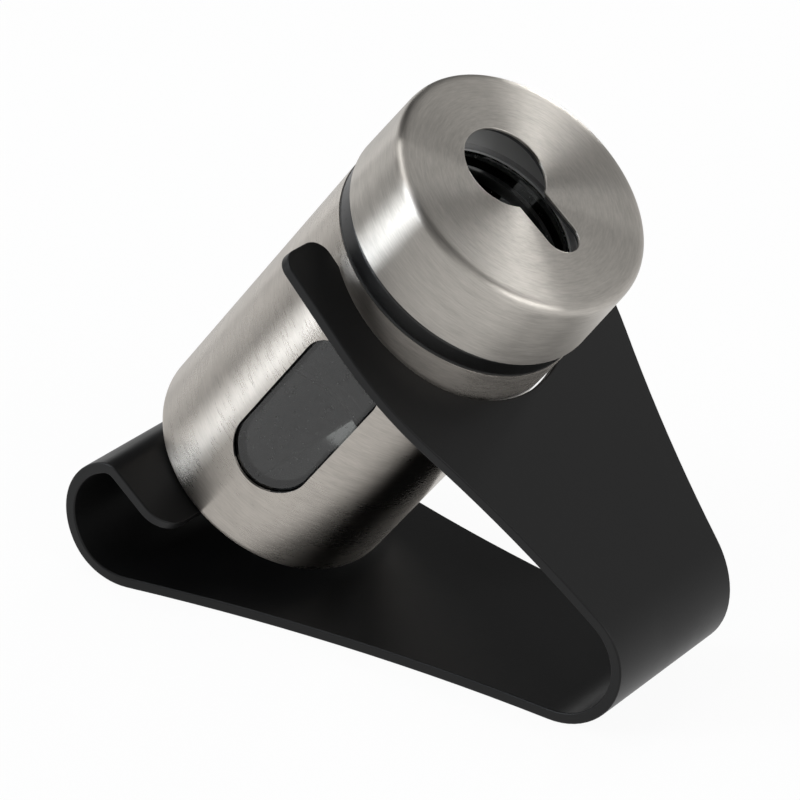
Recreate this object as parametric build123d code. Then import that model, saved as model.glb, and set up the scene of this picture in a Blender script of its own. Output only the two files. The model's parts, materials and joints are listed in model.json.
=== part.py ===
"""Brush hydrator: a keyhole-lidded glass jar in a steel sleeve, lying in a bent steel stand.

Millimetres. X runs across the stand, +Y to the rear, +Z up.
The origin is the middle of the bounding box, on the surface that the stand rests on.
"""
from build123d import *
from math import asin, atan2, cos, degrees, pi, radians, sin, sqrt, tan
import os

# Stand: one sheet strip
SHEET = 3.0
WAIST_WIDTH = 50.0
END_WIDTH = 92.5
FRONT_BEND_RADIUS = 19.5
BASE_LENGTH = 118.3
PANEL_ANGLE = 43.9
HOOK_RADIUS = 18.3
HOOK_SWEEP = 159.7
HOOK_TOP_RADIUS = 6.0
FLAP_LENGTH = 19.6
FLAP_CORNER = 8.0

# Outline of the strip, seen flat: angles are measured from the strip's length
PANEL_WAIST_WIDTH = 51.2
PANEL_FLANK_START = 10.5
PANEL_FLANK_END = 20.0
PANEL_FLANK_LENGTH = 55.0
BASE_FLANK_START = 2.5
BASE_FLANK_RADIUS = 523.0
CRADLE_FROM_BEND = 90.5
TINE_REACH = 22.5
MOUTH_WIDTH = 64.2
TINE_OUTER_CORNER = 4.0
TINE_INNER_CORNER = 5.0

# Jar and sleeve, with heights from the jar's bottom along its axis
JAR_ELEVATION = 53.75
SLEEVE_RADIUS = 34.2
SLEEVE_WALL = 0.6
SLEEVE_HEIGHT = 94.4
SLEEVE_BOTTOM_ROUND = 2.8
SLEEVE_LIP = 5.0
WINDOW_WIDTH = 22.0
WINDOW_LENGTH = 56.3
WINDOW_LOW_END = 22.2
WINDOW_TURN = 188.75
GLASS_WALL = 3.0
GLASS_FLOOR = 5.0
SHOULDER_SLOPE = 3.0
COLLAR_HEIGHT = 5.4
COLLAR_SETBACK = 0.2
COLLAR_ROUND = 1.2
NECK_OUTER_RADIUS = 25.2
NECK_WALL = 2.4
NECK_HEIGHT = 5.8
RIM_ROUND = 0.8
RING_THICKNESS = 0.8
RING_SETBACK = 0.2

# Lid
LID_RADIUS = 35.0
LID_HEIGHT = 22.4
LID_TOP_RADIUS = 34.4
LID_EDGE_ROUND = 1.7
LID_SHEET = 0.8
KEYHOLE_RADIUS = 11.3
KEYHOLE_FROM_AXIS = 7.1
KEYHOLE_SLOT_WIDTH = 10.2
KEYHOLE_SLOT_REACH = 18.8
KEYHOLE_STEP = 1.2
LINER_TOP = 1.8
LINER_WALL = 1.8
LINER_SKIRT_SETBACK = 1.0
THREAD_PITCH = 3.2
THREAD_START = 0.3
THREAD_DEPTH = 1.1
THREAD_WIDTH = 1.3
THREAD_ROOT = 0.25
NECK_THREAD_TURNS = 1.2
LINER_THREAD_TURNS = 0.6
SEAL_THICKNESS = 1.2
SEAL_STEP = 0.5

# Clearances
CRADLE_CLEARANCE = 0.3
GLASS_CLEARANCE = 0.3
RING_CLEARANCE = 0.05
THREAD_CLEARANCE = 0.4
LINER_CLEARANCE = 0.05
SEAL_CLEARANCE = 0.1
LID_GAP = 0.4

TOOL_MARGIN = 2.0


def heading(angle):
    """Unit step in the side view (Y, Z) at an angle from +Y."""
    return cos(radians(angle)), sin(radians(angle))


def side_point(point):
    """A point of the side view, in space."""
    return Vector(0, point[0], point[1])


def bend_face(centre, radius, start, sweep):
    """Slice of a ring in the side view: the sheet's section round one bend."""
    outer = CenterArc((0, 0), radius, start, sweep)
    inner = CenterArc((0, 0), radius - SHEET, start, sweep)
    ring = make_face([outer, Line(outer @ 1, inner @ 1), inner, Line(inner @ 0, outer @ 0)])
    return Plane(origin=side_point(centre), x_dir=(0, 1, 0), z_dir=(1, 0, 0)) * ring


def bend(centre, radius, start, sweep, half_width, steps=8):
    """Bent stretch of the strip, whose half width follows half_width(share of the sweep)."""
    blank = extrude(bend_face(centre, radius, start, sweep), END_WIDTH / 2 + TOOL_MARGIN, both=True)
    sections = []
    for step in range(steps + 1):
        angle = start + sweep * step / steps
        out_y, out_z = heading(angle)
        middle = radius - SHEET / 2
        place = Plane(
            origin=side_point((centre[0] + middle * out_y, centre[1] + middle * out_z)),
            x_dir=(1, 0, 0),
            z_dir=Vector(0, -out_z, out_y),
        )
        sections.append(place * Rectangle(2 * half_width(step / steps), SHEET + 2 * TOOL_MARGIN))
    return blank & loft(sections)


def hermite(start, end, start_slope, end_slope, length):
    """Smooth width along a stretch of the strip, from its end widths and end slopes."""
    def width(share):
        rise = start * (1 + 2 * share) * (1 - share) ** 2 + end * share**2 * (3 - 2 * share)
        return rise + length * (start_slope * share * (1 - share) ** 2 + end_slope * share**2 * (share - 1))
    return width


# Side view of the strip's outer face, from the front bend round to the flap's end
front_centre = (0.0, FRONT_BEND_RADIUS)
hook_centre = (BASE_LENGTH, HOOK_RADIUS)
hook_end_step = heading(HOOK_SWEEP - 90)
top_centre = (
    hook_centre[0] + (HOOK_RADIUS - HOOK_TOP_RADIUS) * hook_end_step[0],
    hook_centre[1] + (HOOK_RADIUS - HOOK_TOP_RADIUS) * hook_end_step[1],
)
flap_angle = 90 - JAR_ELEVATION
top_sweep = 180 + flap_angle - HOOK_SWEEP
axis_y, axis_z = heading(180 - JAR_ELEVATION)
flap_start = (top_centre[0] + HOOK_TOP_RADIUS * axis_y, top_centre[1] + HOOK_TOP_RADIUS * axis_z)

panel_up = heading(PANEL_ANGLE)
panel_out = heading(PANEL_ANGLE + 90)
panel_start = (
    front_centre[0] + FRONT_BEND_RADIUS * panel_out[0],
    front_centre[1] + FRONT_BEND_RADIUS * panel_out[1],
)

# The jar's axis stands square on the flap and meets the panel at the cradle's middle
cradle_middle = (
    panel_start[0] + CRADLE_FROM_BEND * panel_up[0],
    panel_start[1] + CRADLE_FROM_BEND * panel_up[1],
)
axis_length = (cradle_middle[0] - flap_start[0]) * axis_y + (cradle_middle[1] - flap_start[1]) * axis_z
jar_bottom = (cradle_middle[0] - axis_length * axis_y, cradle_middle[1] - axis_length * axis_z)
jar_lean = 90 - JAR_ELEVATION
panel_to_jar = PANEL_ANGLE - jar_lean
cradle_radius = (
    SLEEVE_RADIUS / cos(radians(panel_to_jar)) + SHEET / 2 * tan(radians(panel_to_jar)) + CRADLE_CLEARANCE
)
cradle_shift = SHEET / 2 * tan(radians(panel_to_jar))
panel_length = CRADLE_FROM_BEND + TINE_REACH

# Whole stand centred front to back on the origin
stand_front = front_centre[0] - FRONT_BEND_RADIUS
stand_rear = hook_centre[0] + HOOK_RADIUS
to_origin = Pos(0, -(stand_front + stand_rear) / 2, 0)


def panel_outline():
    """Front panel seen square on: flanks that flare from the bend to the tines, and the cradle."""
    start, end = radians(PANEL_FLANK_START), radians(PANEL_FLANK_END)
    flank_radius = PANEL_FLANK_LENGTH / (sin(end) - sin(start))
    half_waist, half_end = PANEL_WAIST_WIDTH / 2, END_WIDTH / 2
    middle = (start + end) / 2
    flank_mid = (
        half_waist + flank_radius * (cos(start) - cos(middle)),
        flank_radius * (sin(middle) - sin(start)),
    )
    flank_end = (half_waist + flank_radius * (cos(start) - cos(end)), PANEL_FLANK_LENGTH)
    shoulder_radius = (half_end - flank_end[0]) / (1 - cos(end))
    shoulder_mid = (
        half_end - shoulder_radius * (1 - cos(end / 2)),
        PANEL_FLANK_LENGTH + shoulder_radius * (sin(end) - sin(end / 2)),
    )
    shoulder_end = (half_end, PANEL_FLANK_LENGTH + shoulder_radius * sin(end))
    half = make_face([
        Line((0, 0), (half_waist, 0)),
        ThreePointArc((half_waist, 0), flank_mid, flank_end),
        ThreePointArc(flank_end, shoulder_mid, shoulder_end),
        Line(shoulder_end, (half_end, panel_length)),
        Line((half_end, panel_length), (0, panel_length)),
        Line((0, panel_length), (0, 0)),
    ])
    whole = half + mirror(half, Plane.YZ)
    cradle_at = CRADLE_FROM_BEND - cradle_shift
    mouth_reach = panel_length - cradle_at + TOOL_MARGIN
    cradle = Pos(0, cradle_at) * Circle(cradle_radius)
    mouth = Pos(0, cradle_at + mouth_reach / 2) * Rectangle(MOUTH_WIDTH, mouth_reach)
    open_panel = whole - cradle - mouth
    tips = open_panel.vertices().filter_by(lambda v: abs(v.Y - panel_length) < 0.01)
    outer = tips.sort_by(lambda v: abs(v.X))[-2:]
    open_panel = fillet(outer, TINE_OUTER_CORNER)
    tips = open_panel.vertices().filter_by(lambda v: abs(v.Y - panel_length) < 0.01)
    inner = tips.sort_by(lambda v: abs(v.X))[:2]
    return fillet(inner, TINE_INNER_CORNER)


def base_end_half_width():
    """Half width and slope where the base meets the hook."""
    start = radians(BASE_FLANK_START)
    end = asin(sin(start) + BASE_LENGTH / BASE_FLANK_RADIUS)
    return WAIST_WIDTH / 2 + BASE_FLANK_RADIUS * (cos(start) - cos(end)), end


def base_outline():
    """Base seen from above: its flanks flare to the rear on one long arc."""
    start = radians(BASE_FLANK_START)
    half_end, end = base_end_half_width()
    middle = (start + end) / 2
    flank_mid = (
        WAIST_WIDTH / 2 + BASE_FLANK_RADIUS * (cos(start) - cos(middle)),
        BASE_FLANK_RADIUS * (sin(middle) - sin(start)),
    )
    half = make_face([
        Line((0, 0), (WAIST_WIDTH / 2, 0)),
        ThreePointArc((WAIST_WIDTH / 2, 0), flank_mid, (half_end, BASE_LENGTH)),
        Line((half_end, BASE_LENGTH), (0, BASE_LENGTH)),
        Line((0, BASE_LENGTH), (0, 0)),
    ])
    return half + mirror(half, Plane.YZ)


def stand():
    """The bent strip: panel, front bend, base, hook and flap, as one solid."""
    panel_plane = Plane(
        origin=side_point(panel_start), x_dir=(1, 0, 0), z_dir=Vector(0, panel_out[0], panel_out[1])
    )
    panel = extrude(panel_plane * panel_outline(), -SHEET)
    front_length = radians(270 - (90 + PANEL_ANGLE)) * (FRONT_BEND_RADIUS - SHEET / 2)
    front = bend(
        front_centre, FRONT_BEND_RADIUS, 90 + PANEL_ANGLE, 180 - PANEL_ANGLE,
        hermite(
            PANEL_WAIST_WIDTH / 2, WAIST_WIDTH / 2,
            -tan(radians(PANEL_FLANK_START)), tan(radians(BASE_FLANK_START)), front_length,
        ),
    )
    base = extrude(base_outline(), SHEET)
    half_base_end, base_slope = base_end_half_width()
    hook_mean = HOOK_RADIUS - SHEET / 2
    flare_radius = (END_WIDTH / 2 - half_base_end) / (1 - cos(base_slope))
    flare_sweep = degrees(flare_radius * sin(base_slope) / hook_mean)

    def flare(share):
        """Half width on the hook's first stretch, rounding off to the parallel sides."""
        left = flare_radius * sin(base_slope) * (1 - share)
        return END_WIDTH / 2 - (flare_radius - sqrt(flare_radius**2 - left**2))

    def full(share):
        return END_WIDTH / 2

    hook_low = bend(hook_centre, HOOK_RADIUS, -90, flare_sweep, flare)
    hook_high = bend(hook_centre, HOOK_RADIUS, flare_sweep - 90, HOOK_SWEEP - flare_sweep, full)
    hook_top = bend(top_centre, HOOK_TOP_RADIUS, HOOK_SWEEP - 90, top_sweep, full, steps=4)
    flap_face = Pos(0, -FLAP_LENGTH / 2) * Rectangle(END_WIDTH, FLAP_LENGTH)
    flap_ends = flap_face.vertices().filter_by(lambda v: v.Y < -FLAP_LENGTH / 2)
    flap_face = fillet(flap_ends, FLAP_CORNER)
    flap_plane = Plane(origin=side_point(flap_start), x_dir=(1, 0, 0), z_dir=Vector(0, axis_y, axis_z))
    flap = extrude(flap_plane * flap_face, -SHEET)
    return panel + front + base + hook_low + hook_high + hook_top + flap


# Heights along the jar's axis, from its bottom
ring_low = SLEEVE_HEIGHT
collar_low = ring_low + RING_THICKNESS
collar_top = collar_low + COLLAR_HEIGHT
rim_height = collar_top + NECK_HEIGHT
lid_low = collar_top + LID_GAP
lid_top = lid_low + LID_HEIGHT
glass_radius = SLEEVE_RADIUS - SLEEVE_WALL - GLASS_CLEARANCE
collar_radius = SLEEVE_RADIUS - COLLAR_SETBACK
neck_inner = NECK_OUTER_RADIUS - NECK_WALL
thread_crest = NECK_OUTER_RADIUS + THREAD_DEPTH
liner_bore = thread_crest + THREAD_CLEARANCE
glass_low = SLEEVE_WALL
thread_low = collar_top + THREAD_START + THREAD_WIDTH / 2


def revolved(points):
    """Solid of revolution about the jar's axis, from a closed outline of radius and height."""
    return revolve(Plane.XZ * make_face(Polyline(*points, close=True)), Axis.Z)


def steel_sleeve():
    """Thin shell with a rounded bottom edge, a turned-in lip and the long window."""
    outer = SLEEVE_RADIUS
    turn = SLEEVE_BOTTOM_ROUND
    wall = SLEEVE_WALL
    lip = outer - SLEEVE_LIP
    outline = make_face([
        Line((lip, 0), (outer - turn, 0)),
        RadiusArc((outer - turn, 0), (outer, turn), -turn),
        Line((outer, turn), (outer, SLEEVE_HEIGHT)),
        Line((outer, SLEEVE_HEIGHT), (outer - wall, SLEEVE_HEIGHT)),
        Line((outer - wall, SLEEVE_HEIGHT), (outer - wall, turn)),
        RadiusArc((outer - wall, turn), (outer - turn, wall), turn - wall),
        Line((outer - turn, wall), (lip, wall)),
        Line((lip, wall), (lip, 0)),
    ])
    shell = revolve(Plane.XZ * outline, Axis.Z)
    window = SlotOverall(WINDOW_LENGTH, WINDOW_WIDTH)
    window_plane = Plane(origin=(0, 0, WINDOW_LOW_END + WINDOW_LENGTH / 2), x_dir=(0, 0, 1), z_dir=(1, 0, 0))
    cutter = extrude(window_plane * window, outer + TOOL_MARGIN)
    return shell - Rot(0, 0, WINDOW_TURN) * cutter


def helical_ridge(radius, depth, start_height, turns):
    """Trapezoid ridge that climbs round the jar's axis; depth is negative for an inward ridge."""
    path = Pos(0, 0, start_height) * Helix(THREAD_PITCH, THREAD_PITCH * turns, radius)
    root = -THREAD_ROOT if depth > 0 else THREAD_ROOT
    section_plane = Plane(origin=path @ 0, x_dir=Vector((path @ 0).X, (path @ 0).Y, 0), z_dir=path % 0)
    half_root, half_crest = THREAD_WIDTH / 2, THREAD_WIDTH / 4
    section = make_face(Polyline(
        (root, -half_root), (depth, -half_crest), (depth, half_crest), (root, half_root), close=True
    ))
    return sweep(section_plane * section, path=path, is_frenet=True)


def glass_jar():
    """Jar body inside the sleeve, collar above it, and the threaded neck."""
    inner = glass_radius - GLASS_WALL
    body = revolved([
        (0, glass_low), (glass_radius, glass_low), (glass_radius, collar_low), (collar_radius, collar_low),
        (collar_radius, collar_top), (NECK_OUTER_RADIUS, collar_top), (NECK_OUTER_RADIUS, rim_height),
        (0, rim_height),
    ])
    collar_edges = body.edges().filter_by(GeomType.CIRCLE).filter_by(
        lambda e: abs(e.radius - collar_radius) < 0.01
    )
    body = fillet(collar_edges.sort_by(Axis.Z)[-1], COLLAR_ROUND)
    bottom = body.edges().filter_by(GeomType.CIRCLE).sort_by(Axis.Z)[0]
    body = fillet(bottom, SLEEVE_BOTTOM_ROUND)
    cavity = revolved([
        (0, glass_low + GLASS_FLOOR), (inner, glass_low + GLASS_FLOOR),
        (inner, collar_low - SHOULDER_SLOPE), (neck_inner, collar_top - SHOULDER_SLOPE),
        (neck_inner, rim_height + TOOL_MARGIN), (0, rim_height + TOOL_MARGIN),
    ])
    floor_edge = cavity.edges().filter_by(GeomType.CIRCLE).sort_by(Axis.Z)[0]
    cavity = fillet(floor_edge, GLASS_WALL)
    jar = body - cavity
    rim = jar.edges().filter_by(GeomType.CIRCLE).group_by(Axis.Z)[-1]
    jar = fillet(rim, RIM_ROUND)
    ridge = helical_ridge(NECK_OUTER_RADIUS, THREAD_DEPTH, thread_low, NECK_THREAD_TURNS)
    return jar + ridge


def neck_ring():
    """Flat black ring that the collar sits on."""
    washer = Circle(SLEEVE_RADIUS - RING_SETBACK) - Circle(glass_radius + RING_CLEARANCE)
    return Pos(0, 0, ring_low) * extrude(washer, RING_THICKNESS)


def keyhole(grow=0.0):
    """The brush opening: a round hole that runs into a slot towards the low side of the lid."""
    hole = Pos(0, KEYHOLE_FROM_AXIS) * Circle(KEYHOLE_RADIUS + grow)
    slot_end = KEYHOLE_SLOT_REACH - KEYHOLE_SLOT_WIDTH / 2
    slot = SlotOverall(slot_end + KEYHOLE_FROM_AXIS + KEYHOLE_SLOT_WIDTH, KEYHOLE_SLOT_WIDTH)
    slot = Pos(0, (KEYHOLE_FROM_AXIS - slot_end) / 2) * (Rot(0, 0, 90) * slot)
    if grow:
        slot = offset(slot, grow)
    return hole + slot


def lid_shell():
    """Drawn steel cap, a little narrower at the top, with the keyhole through its top."""
    outer = revolved([
        (0, lid_low), (LID_RADIUS, lid_low), (LID_TOP_RADIUS, lid_top), (0, lid_top),
    ])
    edge = outer.edges().filter_by(GeomType.CIRCLE).sort_by(Axis.Z)[-1]
    outer = fillet(edge, LID_EDGE_ROUND)
    inner = revolved([
        (0, lid_low - TOOL_MARGIN), (LID_RADIUS - LID_SHEET, lid_low - TOOL_MARGIN),
        (LID_RADIUS - LID_SHEET, lid_low), (LID_TOP_RADIUS - LID_SHEET, lid_top - LID_SHEET),
        (0, lid_top - LID_SHEET),
    ])
    edge = inner.edges().filter_by(GeomType.CIRCLE).sort_by(Axis.Z)[-1]
    inner = fillet(edge, LID_EDGE_ROUND - LID_SHEET)
    opening = Pos(0, 0, lid_top - LID_HEIGHT / 2) * extrude(keyhole(), LID_HEIGHT)
    return outer - inner - opening


def lid_liner():
    """Plastic insert: a top plate, an outer skirt against the cap and an inner threaded tube."""
    plate_top = lid_top - LID_SHEET
    plate_low = plate_top - LINER_TOP
    skirt_low = lid_low + LINER_SKIRT_SETBACK
    low_radius = LID_RADIUS - LID_SHEET - LINER_CLEARANCE
    high_radius = LID_TOP_RADIUS - LID_SHEET - LINER_CLEARANCE
    corner = LID_EDGE_ROUND - LID_SHEET
    shape = revolved([
        (0, skirt_low), (low_radius, skirt_low), (high_radius, plate_top - corner),
        (high_radius - corner, plate_top), (0, plate_top),
    ])
    gutter_outer = high_radius - corner - LINER_WALL
    gutter = revolved([
        (liner_bore + LINER_WALL, skirt_low - TOOL_MARGIN), (gutter_outer, skirt_low - TOOL_MARGIN),
        (gutter_outer, plate_low), (liner_bore + LINER_WALL, plate_low),
    ])
    seal_top = rim_height + SEAL_THICKNESS
    upper_bore = NECK_OUTER_RADIUS - SEAL_STEP
    bore = revolved([
        (0, skirt_low - TOOL_MARGIN), (liner_bore, skirt_low - TOOL_MARGIN), (liner_bore, seal_top),
        (upper_bore, seal_top), (upper_bore, plate_low), (0, plate_low),
    ])
    opening = Pos(0, 0, plate_low - TOOL_MARGIN) * extrude(keyhole(KEYHOLE_STEP), LINER_TOP + 2 * TOOL_MARGIN)
    liner = shape - gutter - bore - opening
    ridge = helical_ridge(liner_bore, -THREAD_DEPTH, thread_low + THREAD_PITCH / 2, LINER_THREAD_TURNS)
    return liner + ridge


def lid_seal():
    """Flat soft ring between the liner's step and the glass rim."""
    ring = Circle(liner_bore - SEAL_CLEARANCE) - Circle(neck_inner + SEAL_STEP)
    return Pos(0, 0, rim_height) * extrude(ring, SEAL_THICKNESS)


def on_jar_axis(shape):
    """From the jar's own upright frame to its place in the stand."""
    place = Plane(origin=side_point(jar_bottom), x_dir=(1, 0, 0), z_dir=Vector(0, axis_y, axis_z))
    return place.location * shape


def main():
    os.makedirs("parts", exist_ok=True)
    pieces = {
        "stand": stand(),
        "steel_sleeve": on_jar_axis(steel_sleeve()),
        "glass_jar": on_jar_axis(glass_jar()),
        "neck_ring": on_jar_axis(neck_ring()),
        "lid_shell": on_jar_axis(lid_shell()),
        "lid_liner": on_jar_axis(lid_liner()),
        "lid_seal": on_jar_axis(lid_seal()),
    }
    for name, shape in pieces.items():
        export_step(to_origin * shape, f"parts/{name}.step")


main()
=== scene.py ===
# %% [markdown]
# # A jar for soaking paint brushes, leaning in a bent steel stand
#
# The object is a glass jar in a brushed steel sleeve. Its steel lid has a keyhole: brushes go in
# through the round part and lean in the slot, so the bristles soak without touching the bottom.
# One bent strip of black steel holds the jar at a slant. This lesson starts from the measured
# solids, rebuilds by hand the three pieces whose soft edges catch the light, and then gives every
# piece its finish.

import json
import math

import bmesh
import bpy
from mathutils import Matrix, Vector


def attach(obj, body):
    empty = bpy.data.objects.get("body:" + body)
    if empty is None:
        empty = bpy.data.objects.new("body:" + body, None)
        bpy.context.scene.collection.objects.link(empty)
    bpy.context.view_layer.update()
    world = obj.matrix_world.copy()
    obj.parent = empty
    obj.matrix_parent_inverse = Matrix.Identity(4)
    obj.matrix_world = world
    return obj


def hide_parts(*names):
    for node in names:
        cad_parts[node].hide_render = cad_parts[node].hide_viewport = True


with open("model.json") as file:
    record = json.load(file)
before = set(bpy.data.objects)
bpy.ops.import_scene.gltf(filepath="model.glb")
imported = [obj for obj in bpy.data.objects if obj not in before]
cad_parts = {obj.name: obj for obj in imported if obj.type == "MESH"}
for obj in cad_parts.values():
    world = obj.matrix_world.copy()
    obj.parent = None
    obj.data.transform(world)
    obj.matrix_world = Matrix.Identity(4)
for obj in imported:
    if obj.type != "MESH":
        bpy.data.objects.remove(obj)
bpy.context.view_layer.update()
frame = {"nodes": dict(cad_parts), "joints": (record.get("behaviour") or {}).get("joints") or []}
mm = 0.001
hair = 0.01 * mm
print("solids:", sorted(frame["nodes"]))

# %% [markdown]
# ## Small helpers for working by hand
#
# Modelling by hand means: add a primitive, go into edit mode, select what should change, run one
# tool. In a script the mouse click becomes a test on the place of a vertex, edge or face.
# Everything is deselected before each step, because a tool acts on all that is selected. Two
# places that are less than a hair apart count as one place.

# %% Helpers: select, finish, cut
def leave_edit_mode():
    """Back to object mode, with nothing selected."""
    if bpy.context.mode != "OBJECT":
        bpy.ops.object.mode_set(mode="OBJECT")
    bpy.ops.object.select_all(action="DESELECT")


def work_on(piece):
    """Makes the piece the only selected object."""
    leave_edit_mode()
    piece.select_set(True)
    bpy.context.view_layer.objects.active = piece


def middle(item):
    """Middle point of an edge or a face."""
    return sum((v.co for v in item.verts), Vector()) / len(item.verts)


def pick(piece, kind, test):
    """In edit mode, selects only the edges or faces that pass the test, and counts them."""
    if bpy.context.mode != "EDIT_MESH":
        work_on(piece)
        bpy.ops.object.mode_set(mode="EDIT")
    bpy.ops.mesh.select_all(action="DESELECT")
    bpy.ops.mesh.select_mode(type=kind)
    mesh = bmesh.from_edit_mesh(piece.data)
    items = mesh.edges if kind == "EDGE" else mesh.faces
    chosen = [item for item in items if test(item)]
    for item in chosen:
        item.select_set(True)
    bmesh.update_edit_mesh(piece.data)
    return len(chosen)


def modify(piece, kind, **settings):
    """Adds a modifier with these settings and applies it."""
    work_on(piece)
    modifier = piece.modifiers.new(kind.title(), kind)
    for name, value in settings.items():
        setattr(modifier, name, value)
    bpy.ops.object.modifier_apply(modifier=modifier.name)


def cut_away(piece, cutter):
    """Cuts the cutter's shape out of the piece and removes the cutter."""
    modify(piece, "BOOLEAN", operation="DIFFERENCE", solver="EXACT", object=cutter)
    bpy.data.objects.remove(cutter)


def round_edges(radius, segments, profile=0.5):
    """In edit mode, rounds the selected edges."""
    bpy.ops.mesh.bevel(offset=radius, segments=segments, profile=profile, affect="EDGES")


def soften_edges(piece, width, segments=3):
    """Smooth shading, with a narrow rounding on every sharp edge that keeps the flats flat."""
    work_on(piece)
    bpy.ops.object.shade_smooth()
    modify(
        piece, "BEVEL", width=width, segments=segments, limit_method="ANGLE",
        angle_limit=math.radians(35), harden_normals=True, use_clamp_overlap=True,
    )


# %% [markdown]
# ## The bent strip
#
# The stand is laser-cut from 3 mm sheet, bent three times and powder coated. Seen flat it is an
# hourglass: wide at the two tines that hold the jar, narrow at the front bend, wide again at the
# rear hook. It could be cut flat and bent with a modifier, but a bend would stretch the outline.
# Here the outer face is drawn as it stands instead: one edge is extruded along the strip's side
# view, and scaled to the strip's width at each step. The side view needs the radii of the bends,
# the lengths between them and the slants.

# %% Side view of the strip, from the tine tips to the flap
sheet = 3.0 * mm
full_half = 46.25 * mm
front_radius, hook_radius, top_radius = 19.5 * mm, 18.3 * mm, 6.0 * mm
front_centre = Vector((0, -58.55 * mm, front_radius))
hook_centre = Vector((0, 59.75 * mm, hook_radius))
base_length = hook_centre.y - front_centre.y
panel_angle, hook_sweep, jar_slant = math.radians(43.9), math.radians(159.7), math.radians(36.25)
panel_length, flap_length = 113.0 * mm, 19.6 * mm


def heading(angle):
    """Unit step in the side view, from +Y towards +Z."""
    return Vector((0, math.cos(angle), math.sin(angle)))


quarter = math.pi / 2
panel_up, panel_out = heading(panel_angle), heading(panel_angle + quarter)
panel_foot = front_centre + front_radius * panel_out
top_centre = hook_centre + (hook_radius - top_radius) * heading(hook_sweep - quarter)
flap_down = heading(jar_slant + math.pi)
print("length of the base between its bends, in mm:", round(base_length / mm, 1))

# %% [markdown]
# The outline of the flat strip is drawn with straight lines and tangent arcs, as a laser would cut
# it. Each flank of the panel starts straight, opens along a wide arc and closes into the shoulder.
# The base opens along a very large arc. Round the front bend the two outlines have to meet in
# line, so the width there follows a smooth curve with the right slope at both ends.

# %% Half width of the strip at a distance along it
def side_step(distance, radius, start):
    """How far an arc moves sideways over a distance, from its start angle."""
    return radius * (math.cos(start) - math.cos(math.asin(math.sin(start) + distance / radius)))


def round_off(left, radius):
    """Width still missing at a distance before an arc runs parallel to the strip."""
    return radius - math.sqrt(radius**2 - max(left, 0) ** 2)


panel_waist, base_waist = 25.6 * mm, 25.0 * mm
flank_start, flank_end, flank_length = math.radians(10.5), math.radians(20), 55.0 * mm
flank_radius = flank_length / (math.sin(flank_end) - math.sin(flank_start))
flank_top = panel_waist + side_step(flank_length, flank_radius, flank_start)
shoulder_radius = (full_half - flank_top) / (1 - math.cos(flank_end))
shoulder_end = flank_length + shoulder_radius * math.sin(flank_end)
base_start, base_radius = math.radians(2.5), 523.0 * mm
base_end = math.asin(math.sin(base_start) + base_length / base_radius)
hook_start_half = base_waist + side_step(base_length, base_radius, base_start)
flare_radius = (full_half - hook_start_half) / (1 - math.cos(base_end))
flare_length = flare_radius * math.sin(base_end)


def panel_half(distance):
    """Half width of the panel at a distance from the front bend."""
    if distance < flank_length:
        return panel_waist + side_step(distance, flank_radius, flank_start)
    return full_half - round_off(shoulder_end - distance, shoulder_radius)


def bend_half(share):
    """Half width round the front bend: a smooth curve that meets both flanks in line."""
    length = (math.pi - panel_angle) * (front_radius - sheet / 2)
    blend = share**2 * (3 - 2 * share)
    into = -math.tan(flank_start) * share * (1 - share) ** 2
    out = math.tan(base_start) * share**2 * (share - 1)
    return panel_waist * (1 - blend) + base_waist * blend + length * (into + out)


print("full width is reached at, in mm along the panel:", round(shoulder_end / mm, 1))

# %% [markdown]
# Now the side view and the outline meet: every cross section is a place on the side view and half
# a width there. The list runs down the panel, round the front bend, along the base and round the
# hook. The bends get more sections than the flats, because only they need to look round.

# %% List the cross sections
def shares(count):
    """The ends of so many equal steps from 0 to 1."""
    return [step / count for step in range(1, count + 1)]


shoulder_stops = [shoulder_end + (flank_length - shoulder_end) * share for share in shares(8)]
flank_stops = [flank_length * (1 - share) for share in shares(10)]
sections = []
for distance in shoulder_stops + flank_stops:
    sections.append((panel_foot + distance * panel_up, panel_half(distance)))
for share in shares(24):
    angle = panel_angle + quarter + share * (math.pi - panel_angle)
    sections.append((front_centre + front_radius * heading(angle), bend_half(share)))
for share in shares(14):
    distance = base_length * share
    place = Vector((0, front_centre.y + distance, 0))
    sections.append((place, base_waist + side_step(distance, base_radius, base_start)))
for share in shares(32):
    angle = hook_sweep * share
    left = flare_length - angle * (hook_radius - sheet / 2)
    place = hook_centre + hook_radius * heading(angle - quarter)
    sections.append((place, full_half - round_off(left, flare_radius)))
top_sweep = math.pi + jar_slant - hook_sweep
for share in shares(12):
    angle = hook_sweep - quarter + top_sweep * share
    sections.append((top_centre + top_radius * heading(angle), full_half))
sections.append((sections[-1][0] + flap_length * flap_down, full_half))
print("strip sections:", len(sections))

# %% [markdown]
# A plane becomes the first, full-width piece of the panel, from the tine tips to the shoulder. Its
# lower edge is then extruded to the next section and resized about that section's place, again and
# again, until the strip ends in the flap. Solidify gives the face the thickness of the sheet,
# inwards.

# %% Extrude the strip's outer face section by section
tip = panel_foot + panel_length * panel_up
shoulder = panel_foot + shoulder_end * panel_up
leave_edit_mode()
square_to_panel = (panel_angle, 0, 0)
bpy.ops.mesh.primitive_plane_add(
    size=1, location=(tip + shoulder) / 2, rotation=square_to_panel
)
strip = bpy.context.object
strip.name = "bent_strip"
strip.scale = (2 * full_half, panel_length - shoulder_end, 1)
bpy.ops.object.transform_apply()
pick(strip, "EDGE", lambda e: (middle(e) - shoulder).length < hair)
here, half = shoulder, full_half
for place, next_half in sections:
    bpy.ops.mesh.extrude_edges_move(TRANSFORM_OT_translate={"value": place - here})
    bpy.ops.transform.resize(value=(next_half / half, 1, 1), center_override=place)
    here, half = place, next_half
modify(strip, "SOLIDIFY", thickness=sheet, offset=-1, use_even_offset=True)
print("strip corners:", len(strip.data.vertices))

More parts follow.
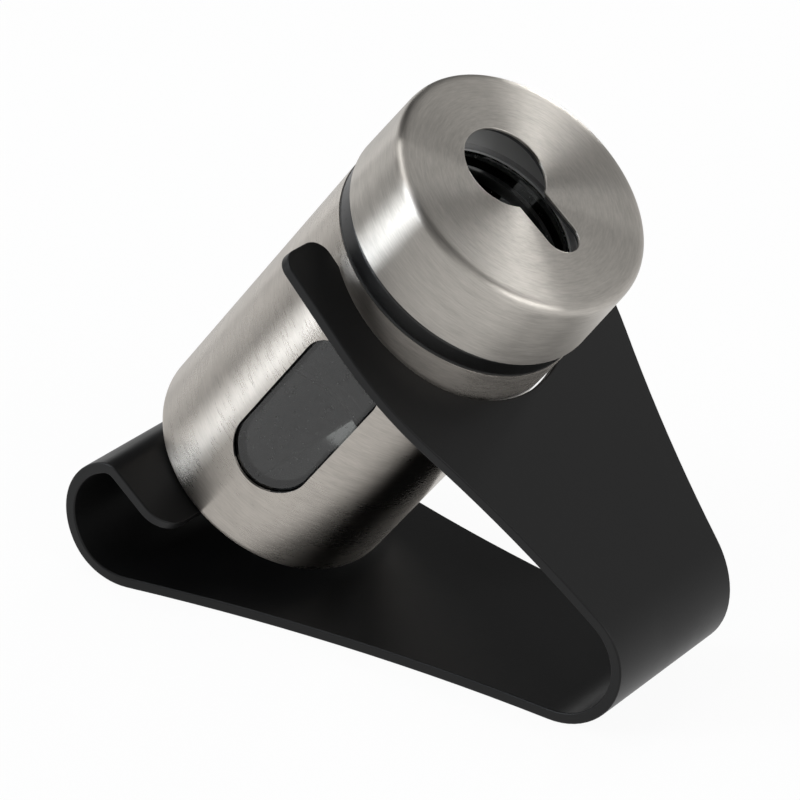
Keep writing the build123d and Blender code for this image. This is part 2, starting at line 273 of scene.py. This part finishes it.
# %% [markdown]
# The jar sits in an open cradle at the top of the panel. Its round part wraps a little more than
# half of the sleeve, so the jar cannot fall out forwards, and two tines reach past it. A cylinder
# and a block cut it out, each turned square to the panel.

# %% Cut the cradle
cradle_radius, cradle_from_bend, mouth_width = 35.0 * mm, 90.3 * mm, 64.2 * mm
right_through, past_tips = 6 * sheet, 40 * mm
cradle = panel_foot + cradle_from_bend * panel_up
leave_edit_mode()
bpy.ops.mesh.primitive_cylinder_add(
    vertices=180, radius=cradle_radius, depth=right_through, location=cradle,
    rotation=square_to_panel,
)
cut_away(strip, bpy.context.object)
leave_edit_mode()
bpy.ops.mesh.primitive_cube_add(
    size=1, location=cradle + past_tips / 2 * panel_up, rotation=square_to_panel
)
mouth = bpy.context.object
mouth.scale = (mouth_width, past_tips, right_through)
cut_away(strip, mouth)
print("width of each tine, in mm:", round((full_half - mouth_width / 2) / mm, 2))

# %% [markdown]
# The tine tips and the flap's ends are rounded as a laser would cut them. The edges to round are
# the short ones that run through the sheet. The cuts leave stray edges on the flat panel, which
# would show as faint creases, so a limited dissolve clears them before the long edges get the thin
# rounding of the coat.

# %% Round the corners of the tines and the flap
def across_sheet(edge, place, half_width):
    """True for the short edge through the sheet at this end of the strip and this half width."""
    spot = middle(edge)
    near = (Vector((0, spot.y, spot.z)) - place).length < 1.1 * sheet
    return near and abs(abs(spot.x) - half_width) < 0.2 * mm and edge.calc_length() < 1.2 * sheet


tine_outer, tine_inner, flap_corner = 4 * mm, 5 * mm, 8 * mm
flap_end = sections[-1][0]
for place, half_width, radius in (
    (tip, full_half, tine_outer),
    (tip, mouth_width / 2, tine_inner),
    (flap_end, full_half, flap_corner),
):
    found = pick(strip, "EDGE", lambda e: across_sheet(e, place, half_width))
    round_edges(radius, segments=10)
    print("rounded corners:", found)
pick(strip, "FACE", lambda f: True)
bpy.ops.mesh.dissolve_limited(angle_limit=math.radians(0.2))
coat_edge = 0.45 * mm
soften_edges(strip, coat_edge)
print("strip faces:", len(strip.data.polygons))

# %% [markdown]
# ## The jar's own upright frame
#
# The jar, its sleeve and its lid are round about one slanted axis. They are easier to model
# upright, with heights counted from the jar's bottom. Afterwards each is leaned into the cradle,
# and the lean is applied so that the object itself stays at the origin. The joint that turns the
# jar says where that axis is.

# %% Find the jar's place from its turning joint
turn = next(joint for joint in frame["joints"] if joint["name"] == "jar_turn")
jar_foot = Vector(turn["pos_m"])
round_steps = 192
almost_half = 0.4995
jar_place = Matrix.Translation(jar_foot) @ Matrix.Rotation(jar_slant, 4, "X")


def lean(piece):
    """Leans a piece that was modelled upright into the cradle."""
    work_on(piece)
    piece.matrix_world = jar_place @ piece.matrix_world
    bpy.ops.object.transform_apply()


def add_round(name, radius, low, high):
    """A solid cylinder about the upright jar axis, with its place already in its mesh."""
    leave_edit_mode()
    bpy.ops.mesh.primitive_cylinder_add(
        vertices=round_steps, radius=radius, depth=high - low, location=(0, 0, (low + high) / 2)
    )
    piece = bpy.context.object
    piece.name = name
    bpy.ops.object.transform_apply()
    return piece


def add_rounded_bar(width, length, depth, place, turned):
    """A bar with round ends, for cutting a slot, with its length along Y before it is turned.

    Its ends are a hair short of a half circle, so that a straight sliver is left between the arcs.
    """
    leave_edit_mode()
    bpy.ops.mesh.primitive_cube_add(size=1)
    bar = bpy.context.object
    bar.scale = (width, length, depth)
    bpy.ops.object.transform_apply()
    pick(bar, "EDGE", lambda e: abs(middle(e).z) < hair)
    round_edges(almost_half * width, segments=24)
    leave_edit_mode()
    bar.matrix_world = Matrix.Translation(place) @ turned
    return bar


print("the jar's foot, in mm:", [round(c / mm, 1) for c in jar_foot])

# %% [markdown]
# ## The sleeve
#
# A thin stainless shell protects the glass. It starts as a cylinder: the lower edge is rounded,
# the bottom is inset and opened so that a narrow lip carries the glass, and the wall gets its
# thickness inwards.

# %% Model the sleeve
sleeve_radius, sleeve_height, sleeve_wall = 34.2 * mm, 94.4 * mm, 0.6 * mm
bottom_round, lip = 2.8 * mm, 5.0 * mm
sleeve = add_round("sleeve_skin", sleeve_radius, 0, sleeve_height)
pick(sleeve, "EDGE", lambda e: middle(e).z < hair)
round_edges(bottom_round, segments=8)
pick(sleeve, "FACE", lambda f: f.normal.z < -0.99 and len(f.verts) > 4)
bpy.ops.mesh.inset(thickness=lip - bottom_round)
bpy.ops.mesh.delete(type="FACE")
pick(sleeve, "FACE", lambda f: f.normal.z > 0.99)
bpy.ops.mesh.delete(type="FACE")
modify(sleeve, "SOLIDIFY", thickness=sleeve_wall, offset=-1, use_even_offset=True)
print("sleeve wall, in mm:", sleeve_wall / mm)

# %% [markdown]
# A long window with half-round ends shows how much liquid is left. A bar of that outline is stood
# on end, turned to face the window's side, and cut through the wall. The edge of the cut is
# dressed very lightly.

# %% Cut its window
window_width, window_length, window_low = 22.0 * mm, 56.3 * mm, 22.2 * mm
window_turn, cutter_depth = math.radians(188.75), 24 * mm
window_out = Vector((math.cos(window_turn), math.sin(window_turn), 0))
window_middle = sleeve_radius * window_out + Vector((0, 0, window_low + window_length / 2))
upright = Matrix.Rotation(window_turn + quarter, 4, "Z") @ Matrix.Rotation(quarter, 4, "X")
window = add_rounded_bar(window_width, window_length, cutter_depth, window_middle, upright)
cut_away(sleeve, window)
soften_edges(sleeve, 0.12 * mm, segments=2)
lean(sleeve)
print("sleeve faces:", len(sleeve.data.polygons))

# %% [markdown]
# ## The lid's cap
#
# The cap is drawn from sheet steel: almost straight sides, a soft shoulder, a flat top. A
# deep-drawn shoulder is fuller than a quarter circle, so the bevel is wide and its profile is
# pushed outwards.

# %% Model the cap
lid_radius, lid_top_radius, lid_sheet = 35.0 * mm, 34.4 * mm, 0.8 * mm
lid_low, lid_high = 101.0 * mm, 123.4 * mm
shoulder_round, fuller_than_circle = 4.2 * mm, 0.735
cap = add_round("cap", lid_radius, lid_low, lid_high)
pick(cap, "FACE", lambda f: f.normal.z > 0.99)
bpy.ops.transform.resize(value=(lid_top_radius / lid_radius,) * 2 + (1,))
pick(cap, "EDGE", lambda e: middle(e).z > lid_high - hair)
round_edges(shoulder_round, segments=20, profile=fuller_than_circle)
pick(cap, "FACE", lambda f: f.normal.z < -0.99)
bpy.ops.mesh.delete(type="FACE")
modify(cap, "SOLIDIFY", thickness=lid_sheet, offset=-1, use_even_offset=True)
print("cap height, in mm:", round((lid_high - lid_low) / mm, 1))

# %% [markdown]
# The keyhole is punched through the top: a round hole that passes a wide brush, and a slot that
# holds its handle. The punch leaves a tiny rounding that shows as a bright line.

# %% Punch the keyhole
hole_radius, hole_from_axis = 11.3 * mm, 7.1 * mm
slot_width, slot_reach, punch_depth = 10.2 * mm, 18.8 * mm, 8 * mm
leave_edit_mode()
bpy.ops.mesh.primitive_cylinder_add(
    vertices=128, radius=hole_radius, depth=punch_depth, location=(0, hole_from_axis, lid_high)
)
cut_away(cap, bpy.context.object)
slot_length = slot_reach + hole_from_axis
slot_middle = Vector((0, slot_length / 2 - slot_reach, lid_high))
unturned = Matrix.Identity(4)
cut_away(cap, add_rounded_bar(slot_width, slot_length, punch_depth, slot_middle, unturned))
soften_edges(cap, 0.2 * mm)
lean(cap)
print("cap faces:", len(cap.data.polygons))

# %% [markdown]
# ## Who rides on what
#
# Each new piece takes the place of a solid and moves with that solid's body: the strip stays, the
# sleeve turns and slides with the jar, the cap unscrews with the lid.

# %% Tie the new pieces to the moving bodies
for piece, node, body, finish in (
    (strip, "stand", "stand", "black_coat"),
    (sleeve, "steel_sleeve", "jar", "sleeve_steel"),
    (cap, "lid_shell", "lid", "lid_steel"),
):
    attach(piece, body)
    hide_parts(node)
    print(piece.name, "replaces", node, "and rides on", body)

# %% [markdown]
# ## Effects that several finishes share
#
# Three small node groups do the fine work. One draws brushing lines that run round the jar's axis.
# One gives a fine even grain, as on powder coat or moulded plastic. One gives soft, wide patches,
# such as handling leaves on metal. Each puts out plain values, and each material decides what to
# do with them.

# %% Helpers: build a node group, add and link a node
def grey(level):
    """A colour without hue."""
    return (level, level, level, 1)


def new_group(name, inputs, output):
    """A shader group with float or vector inputs and one value output."""
    group = bpy.data.node_groups.new(name, "ShaderNodeTree")
    for label, kind, value in inputs:
        socket = group.interface.new_socket(
            name=label, in_out="INPUT", socket_type="NodeSocket" + kind
        )
        if value is not None:
            socket.default_value = value
    group.interface.new_socket(name=output, in_out="OUTPUT", socket_type="NodeSocketFloat")
    return group, group.nodes.new("NodeGroupInput"), group.nodes.new("NodeGroupOutput")


def add(tree, kind, **settings):
    """Adds a node, sets its own settings, and fills inputs given by name or number."""
    node = tree.nodes.new("ShaderNode" + kind)
    inputs = settings.pop("inputs", {})
    for name, value in settings.items():
        setattr(node, name, value)
    for name, value in inputs.items():
        if isinstance(value, bpy.types.NodeSocket):
            tree.links.new(value, node.inputs[name])
        else:
            node.inputs[name].default_value = value
    return node


def combine(tree, first, second, operation="ADD"):
    """One Math node for two values: their sum, unless another operation is named."""
    return add(tree, "Math", operation=operation, inputs={0: first, 1: second}).outputs[0]


def ramp(tree, value, start, end, low=0.0, high=1.0, kind="LINEAR"):
    """Turns the range from start to end into that from low to high, and holds it beyond."""
    return add(
        tree, "MapRange", interpolation_type=kind,
        inputs={"Value": value, "From Min": start, "From Max": end, "To Min": low, "To Max": high},
    ).outputs[0]


# %% [markdown]
# A belt that brushes a spinning jar leaves lines of constant height on its side and rings on its
# top. So the lines' coordinate is the distance from the axis less the height, stretched a few
# thousand times, while the place round the axis is hardly stretched. The noise then breaks the
# lines into long strokes.

# %% Group: brushing lines round an axis
brushing, inside, outside = new_group(
    "round_brushing",
    [("Place", "Vector", None), ("Lines", "Float", 2500.0), ("Strokes", "Float", 8.0)],
    "Brushing",
)
parts = add(brushing, "SeparateXYZ", inputs={0: inside.outputs["Place"]}).outputs
flat = add(brushing, "CombineXYZ", inputs={0: parts[0], 1: parts[1]}).outputs[0]
spoke = add(brushing, "VectorMath", operation="NORMALIZE", inputs={0: flat}).outputs[0]
from_axis = add(brushing, "VectorMath", operation="LENGTH", inputs={0: flat}).outputs["Value"]
along = combine(brushing, from_axis, parts[2], "SUBTRACT")
lines = combine(brushing, along, inside.outputs["Lines"], "MULTIPLY")
around = add(
    brushing, "VectorMath", operation="SCALE",
    inputs={0: spoke, "Scale": inside.outputs["Strokes"]},
).outputs[0]
turned = add(brushing, "SeparateXYZ", inputs={0: around}).outputs
spot = add(brushing, "CombineXYZ", inputs={0: turned[0], 1: turned[1], 2: lines}).outputs[0]
noise = add(
    brushing, "TexNoise",
    inputs={"Vector": spot, "Scale": 1.0, "Detail": 3.0, "Roughness": 0.65},
)
brushing.links.new(noise.outputs[0], outside.inputs[0])
print("brushing group:", len(brushing.nodes), "nodes")

# %% [markdown]
# Grain is noise of one small size: its group takes that size in metres, so that a material can say
# "0.7 millimetres" and not a scale that means nothing by itself.

# %% Group: fine grain
grain, inside, outside = new_group(
    "fine_grain",
    [("Place", "Vector", None), ("Size", "Float", 0.0004), ("Contrast", "Float", 1.0)],
    "Grain",
)
scale = combine(grain, 1.0, inside.outputs["Size"], "DIVIDE")
noise = add(
    grain, "TexNoise", inputs={"Vector": inside.outputs["Place"], "Scale": scale, "Detail": 2.0}
)
centred = combine(grain, noise.outputs[0], 0.5, "SUBTRACT")
contrast = combine(grain, centred, inside.outputs["Contrast"], "MULTIPLY")
grain.links.new(combine(grain, contrast, 0.5), outside.inputs[0])
print("grain group:", len(grain.nodes), "nodes")

# %% [markdown]
# Patches are the wide, soft differences that no real surface is free of: a wiped place, a duller
# place. The group takes their size and the two values between which they wander.

# %% Group: soft patches
patches, inside, outside = new_group(
    "soft_patches",
    [
        ("Place", "Vector", None), ("Size", "Float", 0.02),
        ("Low", "Float", 0.0), ("High", "Float", 1.0),
    ],
    "Patches",
)
scale = combine(patches, 1.0, inside.outputs["Size"], "DIVIDE")
noise = add(
    patches, "TexNoise",
    inputs={"Vector": inside.outputs["Place"], "Scale": scale, "Detail": 4.0, "Distortion": 0.6},
)
spread = ramp(
    patches, noise.outputs[0], 0.35, 0.65,
    inside.outputs["Low"], inside.outputs["High"], "SMOOTHSTEP",
)
patches.links.new(spread, outside.inputs[0])
print("patches group:", len(patches.nodes), "nodes")

# %% [markdown]
# ## A start for every material
#
# Every material starts with a Principled shader and the object's own coordinates. The round pieces
# also need the height above the jar's bottom, measured along its slanted axis: a Mapping node of
# the texture kind undoes the lean, exactly as the jar's own upright frame did for the modelling.

# %% Helpers: materials
def new_material(name):
    """An empty material with a Principled shader and an object-coordinate node."""
    material = bpy.data.materials.new(name)
    material.use_nodes = True
    tree = material.node_tree
    shader = tree.nodes["Principled BSDF"]
    place = tree.nodes.new("ShaderNodeTexCoord").outputs["Object"]
    return material, tree, shader, place


def use_group(tree, group, **values):
    """Places a shared group in a material, with its own values."""
    node = tree.nodes.new("ShaderNodeGroup")
    node.node_tree = group
    for name, value in values.items():
        if isinstance(value, bpy.types.NodeSocket):
            tree.links.new(value, node.inputs[name])
        else:
            node.inputs[name].default_value = value
    return node.outputs[0]


def stood_up(tree, place):
    """The place in the jar's upright frame."""
    return add(
        tree, "Mapping", vector_type="TEXTURE",
        inputs={"Vector": place, "Location": jar_foot, "Rotation": (jar_slant, 0, 0)},
    ).outputs[0]


def height_on_jar(tree, place):
    """Height above the jar's bottom, along its axis."""
    return add(tree, "SeparateXYZ", inputs={0: stood_up(tree, place)}).outputs[2]


def two_tone(tree, shader, mask, main, masked):
    """Makes the base colour the main one, or the masked one where the mask is 1."""
    mix = add(tree, "Mix", data_type="RGBA", inputs={0: mask, 6: main, 7: masked})
    tree.links.new(mix.outputs[2], shader.inputs["Base Color"])


def give_bump(tree, shader, height, strength, depth):
    """Feeds a height into the shader's normal, with the real depth of the relief."""
    bump = add(tree, "Bump", inputs={"Strength": strength, "Distance": depth, "Height": height})
    tree.links.new(bump.outputs[0], shader.inputs["Normal"])


def give_texture(tree, shader, place, patch, rough, size, strength, depth):
    """Patchy roughness between two values, and a fine grain in the surface."""
    low, high = rough
    duller = use_group(tree, patches, Place=place, Size=patch, Low=low, High=high)
    tree.links.new(duller, shader.inputs["Roughness"])
    bumps = use_group(tree, grain, Place=place, Size=size, Contrast=1.0)
    give_bump(tree, shader, bumps, strength, depth)


# %% [markdown]
# ## Brushed steel
#
# The lid and the sleeve were brushed while they spun, so every scratch runs round the axis. Such a
# surface throws light across its scratches: a lamp becomes a streak along the sleeve and a pair of
# wedges on the lid. Principled's anisotropy does this when its tangent runs round the axis, which
# the cross product of the axis and the place gives. The scratches tint the colour and the
# roughness. The sheet itself is never quite even, so slow waves of a few hundredths of a
# millimetre bend the streaks a little.

# %% Helper: steel brushed round the jar's axis
broad_share, darkest, lightest = 0.35, 0.76, 1.18
full, quarter_turn = 1.0, 0.25


def brushed_steel(name, colour, roughness, lines, strokes):
    """Steel with so many lines a metre across the brushing, and so many strokes round the axis."""
    material, tree, shader, place = new_material(name)
    upright_place = stood_up(tree, place)
    fine = use_group(tree, brushing, Place=upright_place, Lines=lines, Strokes=strokes)
    broad = use_group(
        tree, brushing, Place=upright_place, Lines=lines / 6, Strokes=strokes / 3
    )
    scratches = add(
        tree, "Mix", data_type="FLOAT", inputs={0: broad_share, 2: fine, 3: broad}
    ).outputs[0]
    shade = ramp(tree, scratches, 0.25, 0.75, darkest, lightest)
    tint = add(
        tree, "Mix", data_type="RGBA", blend_type="MULTIPLY", inputs={0: 1.0, 6: colour, 7: shade}
    )
    tree.links.new(tint.outputs[2], shader.inputs["Base Color"])
    rough = ramp(tree, scratches, 0.25, 0.75, roughness - 0.02, roughness + 0.02)
    haze = use_group(tree, patches, Place=place, Size=30 * mm, Low=-0.012, High=0.012)
    tree.links.new(combine(tree, rough, haze), shader.inputs["Roughness"])
    waves = use_group(tree, patches, Place=place, Size=20 * mm, Low=0.0, High=1.0)
    give_bump(tree, shader, waves, strength=0.3, depth=0.02 * mm)
    shader.inputs["Metallic"].default_value = full
    shader.inputs["Anisotropic"].default_value = full
    shader.inputs["Anisotropic Rotation"].default_value = quarter_turn
    jar_axis = jar_place.to_3x3() @ Vector((0, 0, 1))
    from_foot = add(
        tree, "VectorMath", operation="SUBTRACT", inputs={0: place, 1: jar_foot}
    ).outputs[0]
    round_axis = add(
        tree, "VectorMath", operation="CROSS_PRODUCT", inputs={0: jar_axis, 1: from_foot}
    )
    tangent = add(
        tree, "VectorTransform", vector_type="VECTOR", convert_from="OBJECT", convert_to="WORLD",
        inputs={0: round_axis.outputs[0]},
    )
    tree.links.new(tangent.outputs[0], shader.inputs["Tangent"])
    return material


# %% [markdown]
# The sleeve is a touch warmer and smoother than the cap, whose scratches are a little coarser.

# %% Steel for the sleeve and the cap
sleeve_steel = brushed_steel(
    "sleeve_steel", (0.4644, 0.4322, 0.3935, 1), roughness=0.28, lines=2600, strokes=9
)
cap_steel = brushed_steel(
    "cap_steel", (0.4662, 0.4412, 0.4058, 1), roughness=0.31, lines=2200, strokes=7
)
sleeve.data.materials.append(sleeve_steel)
cap.data.materials.append(cap_steel)
print("steels:", sleeve_steel.name, cap_steel.name)

# %% [markdown]
# Nobody brushes the inside of a tube, so the sleeve's inner faces are dull mill steel. Their
# colour is painted shade: nearly black, so that round the window they show as a thin black outline
# behind the cut, where the gap lies in shade. A second material goes to every face that looks
# towards the axis.

# %% Dull steel, painted dark as shade, for the sleeve's inner faces
shaded_dull_steel, tree, shader, place = new_material("sleeve_inside")
# Painted shade: nearly black patches of colour on the inner faces, for the shaded gap behind the
# window's cut.
painted_shade_patches = use_group(tree, patches, Place=place, Size=3 * mm, Low=0.05, High=0.14)
tree.links.new(painted_shade_patches, shader.inputs["Base Color"])
shader.inputs["Metallic"].default_value = full
give_texture(
    tree, shader, place,
    patch=6 * mm, rough=(0.5, 0.65), size=0.8 * mm, strength=0.1, depth=0.01 * mm,
)
sleeve.data.materials.append(shaded_dull_steel)
to_upright = jar_place.inverted()
skin_radius = sleeve_radius - 0.4 * sleeve_wall
inner = 0
for face in sleeve.data.polygons:
    spot = to_upright @ face.center
    inwards = -(to_upright.to_3x3() @ face.normal).xy.dot(spot.xy.normalized())
    if inwards > 0.1 and spot.xy.length < skin_radius:
        face.material_index = 1
        inner += 1
print("faces inside the sleeve:", inner)

# %% [markdown]
# ## Black powder coat
#
# The coat is a melted powder: deep black, satin, with a faint orange-peel grain of under a
# millimetre. It reflects less than a plain varnish does, so the specular level is low.

# %% Powder coat for the strip
coat, tree, shader, place = new_material("powder_coat")
shader.inputs["Base Color"].default_value = (0.003, 0.003, 0.0031, 1)
shader.inputs["Specular IOR Level"].default_value = 0.22
give_texture(
    tree, shader, place,
    patch=50 * mm, rough=(0.39, 0.47), size=0.7 * mm, strength=0.12, depth=0.1 * mm,
)
strip.data.materials.append(coat)
print("coat on:", strip.name)

# %% [markdown]
# ## Glass
#
# The jar's glass is tinted grey as painted shade: the closed jar is dark inside, and the tint
# darkens what the window shows. Its collar, between the sleeve and the lid, shows as a soft black
# ring, so the glass is painted nearly black there, as painted shade of the dark inside, and is
# matt. The wall is smooth with faint wiped patches and a few dried drops, and the thick moulded
# bottom is slightly frosted.

# %% Glass for the jar
glass, tree, shader, place = new_material("jar_glass")
height = height_on_jar(tree, place)
above_sleeve = ramp(tree, height, sleeve_height - 0.4 * mm, sleeve_height + 0.2 * mm)
inside_lid = ramp(tree, height, lid_low - 0.4 * mm, lid_low + 0.2 * mm)
collar = combine(tree, above_sleeve, inside_lid, "SUBTRACT")
# Painted shade: grey glass all over, and nearly black on the collar band, for the dark inside of
# the closed jar.
two_tone(tree, shader, collar, main=(0.38, 0.39, 0.385, 1), masked=grey(0.02))
shader.inputs["Transmission Weight"].default_value = full
shader.inputs["IOR"].default_value = 1.5
glass_floor, matt_floor, matt_collar, dried = 5.0 * mm, 0.14, 0.35, 0.3
wiped = use_group(tree, patches, Place=place, Size=12 * mm, Low=0.0, High=0.03)
at_floor = ramp(tree, height, glass_floor - 0.5 * mm, glass_floor + 0.5 * mm, matt_floor, 0.0)
specks = use_group(tree, grain, Place=place, Size=1.6 * mm, Contrast=1.0)
drops = ramp(tree, specks, 0.66, 0.74, 0.0, dried)
at_collar = combine(tree, collar, matt_collar, "MULTIPLY")
rough = combine(tree, wiped, combine(tree, at_collar, at_floor))
tree.links.new(combine(tree, rough, drops), shader.inputs["Roughness"])
print("glass:", glass.name)

# %% [markdown]
# ## Plastic, rubber and silicone
#
# The liner is moulded in grey plastic with a fine spark-eroded texture. Its grey is set light,
# partly painted light, so that its wall reads bright in the dim inside of the keyhole. Its top
# plate is painted nearly black, a painted shade for the dark line inside the keyhole's edge. The
# ring on the neck is black rubber. The seal is silicone, grey above and pale in a thin band low
# down: the pale band is a painted highlight that shows as the light line on the glass rim.

# %% Plastic for the liner
plastic, tree, shader, place = new_material("liner_plastic")
plate_low, plate_high = 120.5 * mm, 120.9 * mm
# Painted shade: above this height the liner's top plate is nearly black.
plate_painted_shade = ramp(tree, height_on_jar(tree, place), plate_low, plate_high)
# Partly painted light: the main grey is set light for the dim wall inside the keyhole.
two_tone(tree, shader, plate_painted_shade, main=(0.60, 0.60, 0.595, 1), masked=grey(0.05))
give_texture(
    tree, shader, place,
    patch=10 * mm, rough=(0.32, 0.42), size=0.3 * mm, strength=0.1, depth=0.05 * mm,
)
print("plastic:", plastic.name)

# %% [markdown]
# Soft parts are duller than the plastic, and their grain is a little coarser and shallower.

# %% Rubber for the ring, silicone with a painted highlight for the seal
rubber, tree, shader, place = new_material("black_rubber")
shader.inputs["Base Color"].default_value = grey(0.012)
give_texture(
    tree, shader, place,
    patch=8 * mm, rough=(0.5, 0.62), size=0.4 * mm, strength=0.1, depth=0.03 * mm,
)

silicone, tree, shader, place = new_material("grey_silicone")
highlight_edge_low, highlight_edge_high = 107.0 * mm, 107.1 * mm
above_painted_highlight = ramp(tree, height_on_jar(tree, place), highlight_edge_low, highlight_edge_high)
# Painted highlight: below this height the seal is pale, for the light line on the glass rim; above
# it, grey.
two_tone(tree, shader, above_painted_highlight, main=(0.95, 0.95, 0.94, 1), masked=grey(0.45))
give_texture(
    tree, shader, place,
    patch=8 * mm, rough=(0.45, 0.58), size=0.4 * mm, strength=0.1, depth=0.04 * mm,
)
print("soft parts:", rubber.name, silicone.name)

# %% [markdown]
# The four pieces that keep their measured solids get these finishes in place of the plain ones.

# %% Give the kept solids their finishes
for node, material in (
    ("glass_jar", glass), ("lid_liner", plastic), ("neck_ring", rubber), ("lid_seal", silicone)
):
    for material_slot in frame["nodes"][node].material_slots:
        material_slot.material = material
    print(node, "is", material.name)

# %% [markdown]
# ## The studio
#
# A product is photographed on white paper, in a dim room with a few large soft lamps. The floor is
# a white paper sheet. For the camera, and for what metal and glass show of it, most of it is plain
# white, so the ground stays clean. The small rest is lit paper, and keeps the object's faint
# shadow.

# %% Floor
leave_edit_mode()
bpy.ops.mesh.primitive_plane_add(size=12, location=(0, 0, -0.1 * mm))
floor = bpy.context.object
floor.name = "floor"
white, tree, shader, place = new_material("floor_white")
shader.inputs["Base Color"].default_value = grey(0.93)
shader.inputs["Roughness"].default_value = 0.9
fibres = use_group(tree, grain, Place=place, Size=2 * mm, Contrast=0.4)
give_bump(tree, shader, fibres, strength=0.03, depth=0.2 * mm)
plain_share = 0.94
plain_white = add(tree, "Emission", inputs={"Color": grey(1), "Strength": 1.0})
path = add(tree, "LightPath")
seen = combine(tree, path.outputs["Is Camera Ray"], path.outputs["Is Glossy Ray"], "MAXIMUM")
seen = combine(tree, seen, path.outputs["Is Transmission Ray"], "MAXIMUM")
plain = combine(tree, seen, plain_share, "MULTIPLY")
mixed = add(
    tree, "MixShader", inputs={0: plain, 1: shader.outputs[0], 2: plain_white.outputs[0]}
)
tree.links.new(mixed.outputs[0], tree.nodes["Material Output"].inputs[0])
floor.data.materials.append(white)
print("floor:", floor.name)

# %% [markdown]
# The camera sees a white backdrop above the floor, and so does glass that it looks through. The
# metal does not: brushed steel is drawn by what it mirrors, and here it mirrors a grey room with a
# dark ceiling, a dark curtain behind on the right and another on the left. So the world that
# lights the object is grey, and fades to dark upwards and towards the two curtains.

# %% World
world = bpy.data.worlds.new("studio")
bpy.context.scene.world = world
world.use_nodes = True
tree = world.node_tree
direction = add(tree, "TexCoord").outputs["Generated"]
height = add(tree, "SeparateXYZ", inputs={0: direction}).outputs[2]
walls, ceiling = 0.8, 0.14
level = ramp(tree, height, 0.5, 0.86, walls, ceiling, "SMOOTHSTEP")
behind_right, left = (0.715, 0.524, 0.463), (-0.985, 0.0, 0.17)
for towards, start, end, dark in (
    (behind_right, 0.70, 0.95, 0.2), (left, 0.78, 0.96, 0.15)
):
    nearness = add(tree, "VectorMath", operation="DOT_PRODUCT", inputs={0: direction, 1: towards})
    curtain = ramp(tree, nearness.outputs["Value"], start, end, 1.0, dark, "SMOOTHSTEP")
    level = combine(tree, level, curtain, "MULTIPLY")
studio = tree.nodes["Background"]
studio.inputs["Color"].default_value = grey(1)
tree.links.new(level, studio.inputs["Strength"])
backdrop = add(tree, "Background", inputs={"Color": grey(1), "Strength": 1.0})
path = add(tree, "LightPath")
seen = combine(
    tree, path.outputs["Is Camera Ray"], path.outputs["Is Transmission Ray"], "MAXIMUM"
)
mixed = add(
    tree, "MixShader", inputs={0: seen, 1: studio.outputs[0], 2: backdrop.outputs[0]}
)
tree.links.new(mixed.outputs[0], tree.nodes["World Output"].inputs[0])
print("world:", len(tree.nodes), "nodes")

# %% [markdown]
# Five soft lamps stand round the table. The tall one on the left makes the streak along the sleeve
# and the lid's side, and is slightly cool. The small one on the right makes the two bright wedges
# on the lid. The others are large and weak, and fill the front, the back and the top.

# %% Lamps
aim = Vector((0, 0, 70 * mm))


def add_softbox(name, direction, distance, width, height, watts, tint=(1, 1, 1)):
    """A rectangular lamp in a direction from the object, facing it."""
    leave_edit_mode()
    spot = aim + Vector(direction).normalized() * distance
    bpy.ops.object.light_add(type="AREA", location=spot)
    lamp = bpy.context.object
    lamp.name = name
    lamp.data.shape = "RECTANGLE"
    lamp.data.size, lamp.data.size_y = width, height
    lamp.data.energy = watts
    lamp.data.color = tint
    lamp.rotation_euler = (spot - aim).to_track_quat("Z", "Y").to_euler()
    print(name, watts, "W")


add_softbox("left_strip", (-0.745, 0.571, 0.36), 1.2, 0.34, 0.9, 8.0, (0.87, 0.93, 1))
add_softbox("right_side", (0.927, 0.08, 0.367), 1.2, 0.22, 0.22, 2.4)
add_softbox("back_right", (0.45, 0.85, 0.2), 1.3, 0.8, 0.5, 1.4)
add_softbox("front_low", (-0.06, -0.93, 0.3), 1.2, 0.85, 0.5, 4.0)
add_softbox("overhead", (-0.15, 0.3, 0.95), 1.4, 0.8, 0.8, 5.5)

# %% [markdown]
# Photographers hold a black card near bright metal to give it a dark edge. A narrow one behind the
# jar draws the dark line down the left of the lid's side. The camera does not see it.

# %% A black card behind the object
card_place, card_width, card_height = (-0.19, 0.52, 0.3), 0.14, 0.6
leave_edit_mode()
bpy.ops.mesh.primitive_plane_add(size=1, location=card_place, rotation=(quarter, 0, 0))
card = bpy.context.object
card.name = "black_card"
card.scale = (card_width, card_height, 1)
bpy.ops.object.transform_apply()
card.visible_camera = False
card_black, _, shader, _ = new_material("card_black")
shader.inputs["Base Color"].default_value = grey(0.01)
shader.inputs["Roughness"].default_value = 0.9
card.data.materials.append(card_black)
print("card:", card.name)

# %% [markdown]
# The photograph was taken from the front left, looking down at about 28 degrees, with a long lens.
# Colours are shown as they are, with the standard view.

# %% Camera
camera_place, camera_turn = (-0.69988, -0.50261, 0.52592), (61.440, -1.771, -52.955)
film_width, long_lens = 36, 177.76
bpy.ops.object.camera_add(location=camera_place)
camera = bpy.context.object
camera.rotation_euler = [math.radians(angle) for angle in camera_turn]
camera.data.sensor_width = film_width
camera.data.lens = long_lens
camera.data.clip_start, camera.data.clip_end = 0.05, 20
bpy.context.scene.camera = camera
bpy.context.scene.view_settings.view_transform = "Standard"
print("camera distance, in m:", round(camera.location.length, 3))

# %% [markdown]
# Last, the script leaves edit mode.

# %% Finish
leave_edit_mode()
